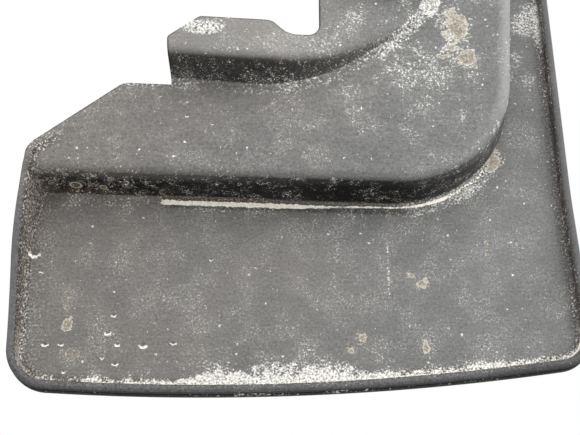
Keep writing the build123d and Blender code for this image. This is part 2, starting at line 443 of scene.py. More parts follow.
def front_triangles(border, holes, loose):
    """The front face over the drawing, with lines along its walls, land and lip."""
    clear = clear_of(holes, RIM_CLEAR)

    def on_lip(points):
        ok = depth_inside(points, OUTLINE_FEW) > LIP_CLEAR
        return ok & (lip_share(points[:, 0], points[:, 1]) > LIP_TRACE)

    def on_flange(points):
        return clear(points) & (depth_inside(points, UPPER_FEW) > FOOT_CLEAR)

    runs = offset_runs(LOWER_LOOP, shelf_rows(LOWER_RUN, LOWER_DRAFT), clear_of(holes, LIP_CLEAR))
    runs += offset_runs(UPPER_LOOP, shelf_rows(UPPER_RUN, UPPER_DRAFT), clear)
    runs += land_runs(LAND_Z, on_flange)
    runs += offset_runs(OUTLINE_LOOP, LIP_ROWS, on_lip, spacing=3)
    ramp_top = grid(-136, -112, -2, 27, 0.8)
    loose = np.vstack([loose, ramp_top])
    return triangulate(border, holes, runs, loose[clear_of(holes, 3.0)(loose)])


def back_triangles(border, holes, loose):
    """The back face over the drawing, with lines along its hollows, side wall and pads."""
    clear = clear_of(holes, RIM_CLEAR)

    def in_hollow(points):
        return clear(points) & (depth_inside(points, UPPER_FEW) > WALL_T + FOOT_CLEAR)

    def on_side_wall(points):
        x, z = points.T
        return (depth_inside(points, OUTLINE_FEW) > 2) & (x < LEFT_SIDE_X) & (z > -10) & (z < 30)

    runs = offset_runs(LOWER_LOOP, hollow_rows(LOWER_RUN_INSIDE), clear, spacing=2)
    runs += offset_runs(UPPER_LOOP, hollow_rows(UPPER_RUN_INSIDE), clear, spacing=2)
    runs += land_runs(LAND_Z + WALL_T, in_hollow)
    runs += offset_runs(OUTLINE_LOOP, [LIP_W, LIP_W + SIDE_WALL_EDGE], on_side_wall, spacing=2)
    for stud in STUDS:
        for radius in (PAD_R - PAD_EDGE, PAD_R - PAD_EDGE / 2, PAD_R):
            runs += offset_runs(circle(*stud_place(stud), radius, PAD_POINTS), [0.0], clear)
    side_wall_end = grid(-136, -122, 8, 30, 1.0)
    loose = np.vstack([loose, side_wall_end])
    return triangulate(border, holes, runs, loose[clear_of(holes, 2.0)(loose)])


def measure(points):
    """How far points lie inside the outline and the two shelves' foot lines."""
    return [depth_inside(points, loop) for loop in (OUTLINE_FEW, LOWER_FEW, UPPER_FEW)]


def inset_outline(inset):
    """The outline's points, each moved inward by its own inset."""
    return OUTLINE_LOOP + OUTLINE_NORMAL * inset[:, None]


def linked(name, data):
    """A new object in the scene."""
    made = bpy.data.objects.new(name, data)
    bpy.context.scene.collection.objects.link(made)
    return made


def smooth_mesh(name, flat, heights, faces, weld=0.0):
    """A mesh with its normals outward, its points within weld metres of each other joined."""
    mesh = bpy.data.meshes.new(name)
    mesh.from_pydata(to_row(flat, heights).tolist(), [], [tuple(int(i) for i in f) for f in faces])
    bm = bmesh.new()
    bm.from_mesh(mesh)
    if weld:
        bmesh.ops.remove_doubles(bm, verts=bm.verts, dist=weld)
    bmesh.ops.recalc_face_normals(bm, faces=bm.faces)
    bm.to_mesh(mesh)
    bm.free()
    mesh.shade_smooth()
    return mesh


def strip_faces(chain):
    """Quads between closed rings of vertex numbers."""
    faces = []
    for one, two in zip(chain, chain[1:]):
        for i in range(len(one)):
            j = (i + 1) % len(one)
            faces.append((one[i], one[j], two[j], two[i]))
    return faces


def edge_levels(share, top_h, back_h):
    """Insets and heights of the edge's rows between the front face and the back: the plain
    sheet's where share is 0, and the lip's where it is 1."""
    share = share[:, None, None]
    top = np.array(SHEET_TOP_ROWS) * (1 - share) + np.array(LIP_TOP_ROWS) * share
    back = np.array(SHEET_BACK_ROWS) * (1 - share) + np.array(LIP_BACK_ROWS) * share
    levels = [(top[:, k, 0], top_h - top[:, k, 1]) for k in range(1, len(SHEET_TOP_ROWS))]
    levels += [(back[:, k, 0], back_h + back[:, k, 1]) for k in range(len(SHEET_BACK_ROWS) - 1)]
    return levels


def build_moulding():
    share = lip_share(OUTLINE_LOOP[:, 0], OUTLINE_LOOP[:, 1])
    front_border = inset_outline(SHEET_INSET + LIP_INSET_MORE * share)
    back_border = inset_outline(SHEET_INSET - LIP_BACK_INSET_LESS * share)
    holes = [circle(*stud_place(stud), SLEEVE_R, SLEEVE_POINTS) for stud in STUDS]
    coarse = grid(-140, 150, -96, WING_TOP_Z, GRID_PITCH)
    front, front_faces, front_rim = front_triangles(front_border, holes, coarse)
    back, back_faces, back_rim = back_triangles(back_border, holes, coarse)
    front_h = front_height(front, *measure(front))
    back_h = back_height(back, *measure(back))

    # The points of the front, the back and the edge, and the edge's rings of point numbers
    count = len(OUTLINE_LOOP)
    flat, heights = [front, back], [front_h, back_h]
    total = len(front) + len(back)
    rings = [front_rim[:count]]
    for inset, height in edge_levels(share, front_h[front_rim[:count]], back_h[back_rim[:count]]):
        flat.append(inset_outline(inset))
        heights.append(height)
        rings.append(total + np.arange(count))
        total += count
    back_rim = back_rim + len(front)
    rings.append(back_rim[:count])
    flat, heights = np.vstack(flat), np.concatenate(heights)

    faces = [tuple(f) for f in front_faces] + [tuple(f[::-1] + len(front)) for f in back_faces]
    for upper, lower in zip(rings, rings[1:]):
        for i in range(count):
            j = (i + 1) % count
            faces.append((upper[i], lower[i], lower[j], upper[j]))
    for start in range(count, count + len(STUDS) * SLEEVE_POINTS, SLEEVE_POINTS):
        around = slice(start, start + SLEEVE_POINTS)
        faces += strip_faces([front_rim[around], back_rim[around]])
    mesh = smooth_mesh("flap_moulding", flat, heights, faces)

    # Where each point is on the drawing, for the materials, which so keep still in every pose
    stored = dict(zip(("edge_depth", "lower_foot", "upper_foot"), measure(flat)))
    stored["facing"] = [-normal.vector.y for normal in mesh.vertex_normals]
    stored["outward"] = [normal.vector.x for normal in mesh.vertex_normals]
    for name, values in stored.items():
        attribute = mesh.attributes.new(name, "FLOAT", "POINT")
        attribute.data.foreach_set("value", np.asarray(values, np.float32))
    drawn = mesh.attributes.new("drawn", "FLOAT_VECTOR", "POINT")
    drawn.data.foreach_set("vector", np.column_stack([flat, heights]).astype(np.float32).ravel())
    return linked("flap_moulding", mesh)


# ---- Materials ----
class Value:
    """A number that a material's nodes work out at each point of a surface."""

    def __init__(self, shader, socket):
        self.shader = shader
        self.socket = socket

    def __add__(self, other):
        return self.shader.math("ADD", self, other)

    def __sub__(self, other):
        return self.shader.math("SUBTRACT", self, other)

    def __rsub__(self, other):
        return self.shader.math("SUBTRACT", other, self)

    def __mul__(self, other):
        return self.shader.math("MULTIPLY", self, other)

    def __abs__(self):
        return self.shader.math("ABSOLUTE", self)

    def step(self, low, high, start=0.0, end=1.0):
        """Smooth step from start at low to end at high."""
        values = {"Value": self, "From Min": low, "From Max": high, "To Min": start, "To Max": end}
        made = self.shader.node("MapRange", values, interpolation_type="SMOOTHSTEP")
        return Value(self.shader, made.outputs["Result"])

    def band(self, low, high, soft):
        """1 from low to high, with soft edges outside."""
        return self.step(low - soft, low) * self.step(high, high + soft, 1.0, 0.0)

    def centred(self, size):
        """A 0 to 1 noise moved to lie about zero and scaled."""
        return (self - 0.5) * size


class Shader:
    """Builds the nodes of one material. What they are fed may be a number, a tuple, a Value or
    another node's output."""

    def __init__(self, name):
        self.material = bpy.data.materials.new(name)
        self.material.use_nodes = True
        self.tree = self.material.node_tree
        self.surface = self.tree.nodes["Principled BSDF"]

    def feed(self, socket, value):
        if isinstance(value, Value):
            value = value.socket
        if isinstance(value, bpy.types.NodeSocket):
            self.tree.links.new(value, socket)
        elif socket.type == "RGBA":
            socket.default_value = (*value, 1)
        else:
            socket.default_value = value

    def node(self, kind, values, **settings):
        made = self.tree.nodes.new("ShaderNode" + kind)
        for name, value in settings.items():
            setattr(made, name, value)
        for socket, value in values.items():
            self.feed(made.inputs[socket], value)
        return made

    def attribute(self, name):
        """A number that the mesh holds at each of its points."""
        return Value(self, self.node("Attribute", {}, attribute_name=name).outputs["Fac"])

    def math(self, operation, a, b=0.0, c=0.0):
        return Value(self, self.node("Math", {0: a, 1: b, 2: c}, operation=operation).outputs[0])

    def most(self, a, b):
        return self.math("MAXIMUM", a, b)

    def vector(self, operation, a, b):
        return self.node("VectorMath", {0: a, 1: b}, operation=operation).outputs[0]

    def split(self, vector):
        return [Value(self, part) for part in self.node("SeparateXYZ", {0: vector}).outputs]

    def noise(self, place, scale, detail=3.0, rough=0.5, warp=0.0):
        values = {"Vector": place, "Scale": scale, "Detail": detail, "Roughness": rough, "Distortion": warp}
        return Value(self, self.node("TexNoise", values).outputs["Fac"])

    def mix(self, factor, a, b):
        """Colour a where factor is 0 and b where it is 1, which are the node's inputs 6 and 7."""
        values = {"Factor": factor, 6: a, 7: b}
        return self.node("Mix", values, data_type="RGBA", clamp_factor=True).outputs[2]

    def shade(self, colour, factor):
        """Colour times a factor."""
        return self.node("VectorMath", {0: colour, "Scale": factor}, operation="SCALE").outputs[0]

    def dots(self, place, cell, share, low_r, high_r):
        """Separate specks, at most one in each cell, in that share of the cells."""
        warped = self.vector("ADD", place, self.wobble(place))
        cells = self.node("TexVoronoi", {"Vector": warped, "Scale": 1 / cell})
        chance = self.split(cells.outputs["Color"])
        radius = chance[1].step(0.0, 1.0, low_r / cell, high_r / cell)
        spot = (radius - cells.outputs["Distance"]).step(0.0, SPECK_SOFT / cell)
        return spot * self.math("LESS_THAN", chance[0], share)

    def wobble(self, place):
        """A move of up to about 1 mm, which makes the specks' outlines uneven."""
        made = self.node("TexNoise", {"Vector": place, "Scale": 0.9, "Detail": 2.0})
        centred = self.vector("SUBTRACT", made.outputs["Color"], (0.5, 0.5, 0.5))
        return self.vector("MULTIPLY", centred, (2.0, 2.0, 2.0))

    def bump(self, height, distance):
        values = {"Height": height, "Distance": distance, "Strength": 1.0}
        return self.node("Bump", values).outputs[0]

    def finish(self, colour, rough, normal=None):
        self.feed(self.surface.inputs["Base Color"], colour)
        self.feed(self.surface.inputs["Roughness"], rough)
        if normal is not None:
            self.feed(self.surface.inputs["Normal"], normal)
        return self.material


SPECK_SOFT = 0.12         # the soft edge of a speck, in mm
RUBBER_RELIEF = 0.00025   # the height of the rubber's grain and of the steel's rust, in metres
STEEL_RELIEF = 0.00012
RUBBER_SPECULAR = 0.14
RUBBER = (0.0045, 0.0045, 0.005)
FILM_COOL = (0.159, 0.160, 0.158)
FILM_WARM = (0.178, 0.167, 0.156)
LIP_GREY = (0.143, 0.146, 0.151)
CHALK = (0.76, 0.75, 0.71)
CREAM = (0.98, 0.94, 0.84)
TAN = (0.36, 0.315, 0.25)
BROWN = (0.075, 0.052, 0.040)
GRIT = (0.080, 0.064, 0.056)
PALE_CRUST = (0.24, 0.215, 0.19)
DARK_RUST = (0.10, 0.035, 0.012)
BRIGHT_RUST = (0.26, 0.11, 0.04)

# Splashes of dried mud: (x, z, radius, stretch along z)
MUD = [
    (87.5, 98, 7, 1.5), (92.5, 78.5, 5.5, 1), (83, 85, 5.5, 0.28), (80.5, 79.5, 6, 0.22),
    (-111.5, -57, 3.2, 1.3), (-110, -54.5, 1.6, 1), (107, 33.5, 4.6, 1.5), (67.5, -36, 2.9, 1.1),
    (62, -32, 1.7, 0.8), (36.5, -65, 2.2, 1.2), (30.5, -71.5, 1.6, 1), (67.5, -70, 2.1, 1.8),
]
# Thin stains of mud
STAINS = [
    (-113, -47, 2.6, 3.4), (67, -36, 4.2, 1), (61.5, -31.5, 3.2, 0.8), (36, -65, 4.2, 1.3),
    (30.5, -71, 4, 0.9), (67, -69.5, 3.4, 1.3), (-109, -74, 5.6, 0.9), (101, -16, 1.2, 7),
]
# Lower rims of dried drops: (x, z, radius)
DROPS = [
    (-122, -67.5, 1.6), (-114, -67.5, 1.5), (-91, -61.5, 1.9), (-86, -67.5, 1.7), (-73, -68, 2.2),
    (-58, -67, 1.4), (-93, -74.5, 1.2), (-86.5, -77.5, 1.6), (-111.5, -81.5, 1.2), (-88.5, -52.5, 1.5),
    (-131, -19, 3.2), (-126.5, -29.5, 1.2), (-53, 45, 0.9), (-40.5, -23, 1),
]
# Dried rings on the lower shelf's wall: (x, h, radius)
RINGS = [(-110.5, 10, 3.2), (-96.5, 8.5, 2), (-123.5, 11.5, 1.4), (-92, 17, 1.2)]
# Dashed scratches down the panel: (x, low z, high z)
SCRATCHES = [(50.2, -42, -16)]


class Rubber(Shader):
    """Black moulded rubber under a grey film of road dust, with chalky splashes, clay and mud, and with
    painted light and shade on its walls, shoulder, lip, clay and drops.
    """

    def __init__(self):
        super().__init__("moulded_rubber")
        self.place = self.node("Attribute", {}, attribute_name="drawn").outputs["Vector"]
        self.x, self.z, self.h = self.split(self.place)
        self.facing = self.attribute("facing")
        self.outward = self.attribute("outward")
        self.edge = self.attribute("edge_depth")
        self.lower = self.attribute("lower_foot")
        self.upper = self.attribute("upper_foot")
        self.broad = self.noise(self.place, 0.014, 2)
        self.patchy = self.noise(self.place, 0.055, 5, 0.62)
        self.clumps = self.noise(self.place, 0.16, 3, 0.6)
        self.torn = self.noise(self.place, 0.42, 4, 0.65)
        self.grain = self.noise(self.place, 0.8, 3, 0.7)
        self.fine = self.noise(self.place, 0.95, 4, 0.68)
        self.streaks = self.noise(self.vector("MULTIPLY", self.place, (0.05, 1.1, 1.1)), 1, 3, 0.6)
        self.curl = self.noise(self.place, 0.30, 2, 0.5, 0.8)
        self.front = self.facing.step(-0.1, 0.05)
        right_side = self.x.step(90, 110) * self.z.step(190, 170)
        self.right_rim = right_side * self.front
        self.rimmed = self.most(self.z.step(40, 25), right_side) * self.front

    def nearness(self, x, z, centre_x, centre_z, radius, tall=1):
        """1 at a place, falling to 0 at an ellipse about it and below 0 outside."""
        across = x - centre_x
        up = (z - centre_z) * (1 / tall)
        away = self.math("SQRT", across * across + up * up)
        return 1 - away * (1 / radius)


def dust_film(s):
    """The dust film lies on what faces the wheel or outwards, and it also paints light and shade: it
    reaches faces turned outwards and the walls' upper parts as painted light, and the other steep walls
    stay black, partly as painted shade.
    """
    film_and_light = s.facing + s.most(s.outward, 0) * 0.42
    # Painted light: the walls' upper parts, below the shoulders, get more of the film, most to the left.
    wall_top_light = s.h.step(13, 23) * s.z.step(50, 30, 0.4, 1)
    film_and_light += wall_top_light * s.x.step(-90, 60, 0.46, 0.18)
    lip_wall = s.right_rim * s.edge.band(3.5, 6, 0.5)
    film_and_light += lip_wall * s.torn.step(0.35, 0.65, 0.22, 0.65)
    s.dusty = (film_and_light + s.torn.centred(0.2)).step(0.12, 0.98)
    warm = (s.broad * 0.5 + s.x * -0.002).step(0.05, 0.52)
    tone = s.broad.centred(0.3) + s.patchy.centred(0.26) + s.grain.centred(1.45)
    tone += s.streaks.centred(0.45)
    # Painted light: the upper shelf's face is lighter and the rest a little darker.
    tone += s.h.step(40, 50, 0.94, 1.22)
    # A painted highlight along the lower shelf's right shoulder.
    shoulder = s.lower.band(1.5, 6, 4.5) * s.x.step(84, 92)
    shoulder *= s.h.step(18, 23) * s.z.step(36, 58, 0.25, 1)
    tone += shoulder * 0.52
    colour = s.shade(s.mix(warm, FILM_COOL, FILM_WARM), tone)
    # The outline's rounded edge is darkened towards the rubber's black.
    outline_dark = s.edge.step(1.1, 0.4) * 0.7
    return s.mix(outline_dark, s.mix(s.dusty, RUBBER, colour), RUBBER)


def lip_wear(s, colour):
    """The lip's top is wiped cleaner than the panel; inside it grit darkens the panel's rim. A dark line at
    the lip's root is dirt and painted shade, and the bottom lip's outer side and its groove carry painted
    shade.
    """
    lip = s.edge.step(4.5, 3.9) * s.h.step(0.5, 3)
    s.on_lip = lip * s.most(s.z.step(20, -10), s.right_rim)
    tone = s.grain.centred(s.z.step(-60, -85, 0.5, 2.2)) + 0.98 + s.patchy.centred(0.5)
    # Painted shade: the bottom lip's outer side is darker.
    low_side_shade = s.edge.step(3.2, 1.2) * s.z.step(-60, -85)
    tone *= 1 - low_side_shade * 0.45
    tone *= s.right_rim.step(0, 1, 1, 0.72)
    colour = s.mix(s.on_lip * s.dusty, colour, s.shade(LIP_GREY, tone))
    grit = s.edge.band(4.7, 6.5, 4) * s.rimmed * s.fine.step(0.58, 0.46, 0, 0.8)
    colour = s.mix(grit, colour, s.shade(GRIT, s.torn.centred(2.4) + 0.8))
    # A dark line at the lip's root: dirt in the crease and painted shade.
    root_dirt_and_shade = s.edge.band(4.3, 5, 0.4) * s.rimmed * s.z.step(-85, -65, 0, 0.85)
    root_dirt_and_shade *= s.fine.step(0.64, 0.46, 0.15, 1)
    root_dirt_and_shade *= s.right_rim.step(0, 1, 1, 0.4)
    colour = s.mix(root_dirt_and_shade, colour, s.shade(BROWN, 0.35))
    # Painted shade: the groove low on the lip's outer side is made near black.
    groove_shade = s.h.band(0.2, 2.4, 0.5) * s.edge.step(1.9, 1.5) * s.z.step(20, 0)
    return s.mix(groove_shade, colour, s.shade(RUBBER, 0.6))


def chalk_amount(s):
    """How thickly chalky grains lie, from 0 to about 1."""
    x, z, h, edge = s.x, s.z, s.h, s.edge
    clusters = s.patchy.step(0.44, 0.62)
    right_shelf = x.step(-10, 60) * z.step(25, 45)
    amount = clusters * (right_shelf * 0.24 + 0.28)
    amount *= (x.step(95, 108) * z.step(85, 60)).step(0, 1, 1, 0.3)
    amount += z.step(60, 95) * 0.12
    ragged = edge + (s.clumps.centred(26) + s.torn.centred(7))
    reach = x.step(-70, -10, 0, 5) + x.step(10, 60, 0, -4)
    lip_foot = (ragged - reach).step(12, 3) * edge.step(4.2, 4.8)
    pile = lip_foot * z.step(-66, -80) * x.step(-112, -85, 0.2, 0.9)
    amount += pile * x.step(-5, 90, 1.1, 0.6)
    drift = z.step(-55, -90) * x.step(-70, -20) * x.step(-5, 70, 1, 0.62)
    amount += drift * (s.patchy * 0.75)
    inner_sides = edge.band(4.8, 7, 3) * s.rimmed
    amount += inner_sides * 0.34
    foot = s.upper.band(-5, 0.5, 2.5) * h.step(20, 26) * z.step(118, 145, 1, 0.35)
    amount += foot * x.step(20, 60, 0.38, 0.55)
    crease = s.lower.band(-6, 0, 4) * h.step(4, 1) * z.step(45, 30)
    amount += crease * x.step(20, 90, 0.3, 0.6)
    strip_top = z.step(90, 112) * s.lower.step(-3, -8)
    amount += strip_top * 0.16
    tab = s.nearness(x, z, -44.5, 84, 15, 0.42) * h.step(44, 48)
    amount += tab.step(0, 0.6) * 0.82
    wing = s.nearness(x, z, 74.5, 112, 5.5, 1.5).step(-0.2, 0.6, 0, 1.3)
    left_corner = s.nearness(x, z, -128, 33, 16, 0.8).step(0, 0.8)
    amount += wing + left_corner * 0.25
    amount *= z.step(122, 150, 1, 0.62)
    return s.math("MINIMUM", amount, 1.15)


def chalk_grains(s, colour):
    """Chalky grains, in clusters everywhere and thick along the feet and the bottom lip."""
    clean = s.on_lip * s.z.step(-80, -60, 0.6, 0.95)
    amount = chalk_amount(s) * ((1 - clean) * s.front)
    thick = 0.7 - amount * 0.27
    solid = (s.fine - thick).step(0, 0.05)
    haze = (s.fine - (thick - 0.09)).step(0, 0.1)
    solid *= s.grain.step(0.36, 0.56, 0.4, 1)
    off_curl = s.math("PINGPONG", s.curl, 0.05)
    curls = off_curl.step(0.012, 0.003) * s.patchy.step(0.42, 0.64, 0.06, 0.85)
    curls *= s.fine.step(0.44, 0.56, 0.1, 1)
    curls *= s.facing.step(0.6, 0.95)
    coarse_dots = s.dots(s.place, 4.5, 0.36, 0.14, 0.66)
    specks = s.most(coarse_dots, s.dots(s.place, 1.7, 0.34, 0.12, 0.32))
    specks *= s.on_lip.step(0, 1, 0.85, 0.2)
    curls *= s.on_lip.step(0, 1, 0.85, 0.1)
    solid = s.most(solid, haze * amount.step(0.3, 0.7, 0.06, 0.26))
    s.chalky = s.most(solid, s.most(specks, curls))
    seen = s.chalky * s.facing.step(0, 0.8, 0.25, 0.92)
    shadow = amount.step(0.45, 0.9) * s.fine.step(0.46, 0.38, 0, 0.7)
    colour = s.mix(shadow * s.dusty, colour, RUBBER)
    return s.mix(seen, colour, s.shade(CHALK, s.grain.centred(1.4) + 1))


def wall_dirt(s, colour):
    """Brown dirt, salt and dried rings on the walls, most of it in the left corner."""
    wall = s.facing.step(0.7, 0.35) * s.facing.step(-0.25, -0.05) * s.edge.step(1.5, 3.5)
    off_curl = abs(s.curl - 0.5)
    corner = s.x.step(-40, -125)
    low = s.h.step(12, 2) * s.x.step(-20, -70)
    soil = s.torn + (corner * 0.1 + low * 0.1)
    soil -= s.grain.step(0.3, 0.7, 0.66, 0.54)
    colour = s.mix(wall * (soil.step(0, 0.08) * 0.75), colour, BROWN)
    salt = s.fine + s.clumps.centred(0.4) - corner.step(0, 1, 0.635, 0.6)
    salt = salt.step(0, 0.03) * 0.85
    crisp = s.most(s.dots(s.place, 1.7, 0.45, 0.18, 0.5), off_curl.step(0.013, 0.004, 0, 0.45))
    crisp *= s.clumps.step(0.44, 0.58, 0, 1)
    salt = wall * s.most(salt, crisp)
    colour = s.mix(salt, colour, CHALK)
    warped_x = s.x + s.torn.centred(2.4)
    warped_h = s.h + s.fine.centred(2.4)
    rings = 0
    for ring_x, ring_h, radius in RINGS:
        near = s.nearness(warped_x, warped_h, ring_x, ring_h, radius, 1.1)
        rings = s.most(rings, near.band(0.05, 0.26, 0.1))
        rings = s.most(rings, near.step(0.2, 0.4) * 0.18)
    rings = rings * wall * s.upper.step(0, -5)
    colour = s.mix(rings * 0.8, colour, s.shade(TAN, 1.5))
    ramp = s.x.step(-119, -128) * s.z.step(24, 8)
    ramp = ramp * s.edge.step(4.3, 5.5) * s.front * s.facing.step(0.98, 0.6, 0.35, 1)
    crust = s.mix(s.fine.step(0.47, 0.53), s.shade(BROWN, 0.6), PALE_CRUST)
    crust = s.mix(s.grain.step(0.54, 0.66), crust, CHALK)
    return s.mix(ramp * s.torn.step(0.34, 0.6, 0.3, 0.85), colour, crust)


def clay_lines(s, colour):
    """Clay along the crease under the lower shelf: a cream band with a brown seam above it."""
    below = s.lower * -1
    start = (s.x + s.torn.centred(5)).step(-67.5, -66.5)
    start *= s.front
    wide = s.x.step(-5, 30, 2.9, 1.1) + s.x.step(55, 75, 0, 0.8)
    ragged = s.torn.centred(4) + s.clumps.centred(3) + wide
    middle = s.x.step(0, 50, 3, 1.9)
    off_middle = abs(below - middle)
    clay = (ragged * 0.5 - off_middle).step(0, 0.3)
    crumbly = s.x.step(60, 90)
    crumbs = (s.fine - crumbly * 0.52).step(-0.04, 0.04)
    clay = clay * crumbs * (start * s.x.step(100, 112, 1, 0))
    seam = below.band(-0.9, 1.4, 0.5) * s.h.step(2.5, 1.2)
    seam = seam * start * s.x.step(-25, 10, 1, 0.25)
    colour = s.mix(seam * 0.85, colour, s.mix(s.fine.step(0.52, 0.58), BROWN, TAN))
    # Painted shadow: a dark fringe under the cream band of clay.
    fringe_shadow = below.band(2.5, 5, 2) * s.h.step(3, 1)
    fringe_shadow = fringe_shadow * start * s.x.step(50, 80, 1, 0) * s.torn.step(0.35, 0.6, 0.1, 0.6)
    colour = s.mix(fringe_shadow, colour, RUBBER)
    tone = s.fine.centred(1.3) + s.torn.centred(0.7) + 1
    colour = s.mix(clay, colour, s.shade(CREAM, tone))
    # A line of clay also stays where the panel meets the bottom lip.
    line = s.edge.band(4.9, 5.4, 0.35) * s.z.step(-55, -72) * s.x.step(-112, -95, 0.12, 1)
    line = line * s.front * s.torn.step(0.32, 0.52, 0.15, 0.95)
    s.clayey = s.most(clay, line)
    return s.mix(line, colour, CREAM)


def mud_splashes(s, colour):
    """Splashes and stains of mud, rims of dried drops with painted shade inside them, and dashed scratches.
    """
    ragged = s.clumps.centred(2.8) + s.torn.centred(2.4) + s.fine.centred(0.7)
    thick, thin = -1, -1
    for place in MUD:
        thick = s.most(thick, s.nearness(s.x, s.z, *place))
    for place in STAINS:
        thin = s.most(thin, s.nearness(s.x, s.z, *place))
    depth = thick + ragged
    thick = depth.step(0.05, 0.22)
    rim = thick * depth.step(0.62, 0.22)
    thin = (thin + ragged).step(0.05, 0.6) * s.fine.step(0.42, 0.6, 0.15, 0.75)
    mud = s.most(thick * s.grain.step(0.35, 0.55, 0.7, 0.92), thin)
    mud *= s.front * s.facing.step(0.3, 0.8)
    tan = s.mix(rim * 0.65, s.mix(s.fine.step(0.52, 0.7), TAN, CREAM), CREAM)
    tan = s.mix(s.grain.step(0.4, 0.28, 0, 0.6), tan, BROWN)
    colour = s.mix(mud, colour, s.shade(tan, s.torn.centred(0.9) + 0.72))
    warped_x = s.x + s.torn.centred(3)
    warped_z = s.z + s.fine.centred(3.4)
    drops, shade = 0, 0
    for drop_x, drop_z, radius in DROPS:
        near = s.nearness(warped_x, warped_z, drop_x, drop_z, radius)
        rim = near.band(-0.02, 0.3, 0.16) * s.z.step(drop_z, drop_z - radius * 0.6)
        drops = s.most(drops, rim)
        # Painted shade inside each drop.
        shade = s.most(shade, near.step(0.25, 0.6) * 0.28)
    for line_x, low_z, high_z in SCRATCHES:
        off = abs(warped_x - line_x)
        dash = off.step(0.55, 0.25) * s.z.band(low_z, high_z, 2)
        drops = s.most(drops, dash * s.fine.step(0.46, 0.58, 0, 0.8))
    colour = s.mix(shade * s.dusty, colour, RUBBER)
    drops = drops * s.dusty * s.grain.step(0.38, 0.52, 0.45, 1)
    s.muddy = s.most(mud * 0.8, drops)
    return s.mix(drops, colour, s.shade(CHALK, 1.2))


def rubber_material():
    s = Rubber()
    colour = lip_wear(s, dust_film(s))
    colour = wall_dirt(s, chalk_grains(s, colour))
    colour = mud_splashes(s, clay_lines(s, colour))
    dirt = s.most(s.most(s.chalky, s.clayey), s.muddy)
    relief = s.grain * 0.45 + s.fine * 0.45
    normal = s.bump(relief + s.streaks * 0.25, RUBBER_RELIEF)
    rough = s.dusty.step(0.0, 1.0, 0.50, 0.60) + dirt * 0.25
    rough += s.patchy.centred(0.20)
    s.surface.inputs["Specular IOR Level"].default_value = RUBBER_SPECULAR
    return s.finish(colour, rough, normal)


# ---- Fixing hardware ----
THREAD_PITCH = 1.0
THREAD_DEPTH = 0.55
THREAD_R = 3.0
THREAD_STEPS = 8          # rings of points in each turn
SHANK_R = 2.7
HEAD_ACROSS_FLATS = 10.0
HEAD_T = 4.0
HEAD_SLOPE = 0.9
HEAD_FLAT_R = 4.9
HEAD_DISH_R = 3.4
HEAD_DISH = 0.3
HEAD_BREAK = 0.2          # the broken edge under the head
STRIP_CORNER_R = 8.0
SLEEVE_BORE_R = 3.3
WASHER_BORE_R = 3.2
SPRING_WASHER_BORE_R = 3.05
SPRING_WASHER_SPLIT = 1.2
SPRING_WASHER_LEAN = math.radians(20.0)
AXIS_R = 0.001            # a ring this small, in mm, is welded into a point
WELD = 1e-6               # metres
SHARP_ANGLE = math.radians(35.0)


def node_box(name):
    """A CAD node's box on the drawing: low and high x, z and h in mm."""
    low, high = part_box(name)
    x = np.array([low.x, high.x]) / MM + ORIGIN_X
    z = np.array([low.z, high.z]) / MM + ORIGIN_Z
    h = PANEL_FRONT_Y - np.array([high.y, low.y]) / MM
    return x, z, h


def place_piece(name, surface, node, material):
    """A piece of hardware that stands for one CAD node and rides on the fixed flap."""
    mesh = smooth_mesh(name, *surface, weld=WELD)
    mesh.set_sharp_from_angle(angle=SHARP_ANGLE)
    mesh.materials.append(material)
    piece = linked(name, mesh)
    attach(piece, "fixed_flap")
    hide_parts(node)


def plate(border, holes, low, high, edge):
    """Flat plate between two heights, its outer edge and its holes' edges rounded."""
    rounding = [(edge * 0.3, edge * 0.3), (0.0, edge)]
    levels = [(inset, high - drop) for inset, drop in rounding]
    levels += [(inset, low + drop) for inset, drop in reversed(rounding)]
    loops = [(border, 1.0)] + [(hole, -1.0) for hole in holes]
    inner = [loop + inward_normals(loop) * edge * side for loop, side in loops]
    points, faces, rim = triangulate(inner[0], inner[1:], [], np.empty((0, 2)))
    flat, heights = [points, points], [np.full(len(points), high), np.full(len(points), low)]
    faces = [tuple(f) for f in faces] + [tuple(f[::-1] + len(points)) for f in faces]
    total = 2 * len(points)
    start = 0
    for loop, side in loops:
        count = len(loop)
        ring = rim[start:start + count]
        chain = [ring]
        for inset, height in levels:
            flat.append(loop + inward_normals(loop) * inset * side)
            heights.append(np.full(count, height))
            chain.append(total + np.arange(count))
            total += count
        chain.append(len(points) + ring)
        faces += strip_faces(chain)
        start += count
    return np.vstack(flat), np.concatenate(heights), faces


def ring_plate(node, bore_r, edge, count=64):
    """A washer or a sleeve as wide and as tall as its CAD node."""
    x, z, h = node_box(node)
    outer_r = (x[1] - x[0]) / 2
    middle = (x.mean(), z.mean())
    return plate(circle(*middle, outer_r, count), [circle(*middle, bore_r, count)], *h, edge)


def split_ring(node, edge=0.25, count=60):
    """Spring washer: a square section swept round, open at a leaning split."""
    bore_r = SPRING_WASHER_BORE_R
    x, z, h = node_box(node)
    outer_r = (z[1] - z[0]) / 2
    section = [
        (bore_r + edge, h[0]), (outer_r - edge, h[0]), (outer_r, h[0] + edge), (outer_r, h[1] - edge),
        (outer_r - edge, h[1]), (bore_r + edge, h[1]), (bore_r, h[1] - edge), (bore_r, h[0] + edge),
    ]
    centre = np.array([x[0] + outer_r, z.mean()])
    half = SPRING_WASHER_SPLIT / 2 / outer_r
    flat, heights = [], []
    for k in range(count + 1):
        for radius, height in section:
            lean = (height - h.mean()) * math.tan(SPRING_WASHER_LEAN) / outer_r
            a = lean + half + (2 * math.pi - 2 * half) * k / count
            flat.append(centre + radius * np.array([math.cos(a), math.sin(a)]))
            heights.append(height)
    chain = [np.arange(8) + 8 * k for k in range(count + 1)]    # the section's eight corners
    faces = strip_faces(chain) + [tuple(chain[0]), tuple(chain[-1][::-1])]
    return np.array(flat), np.array(heights), faces


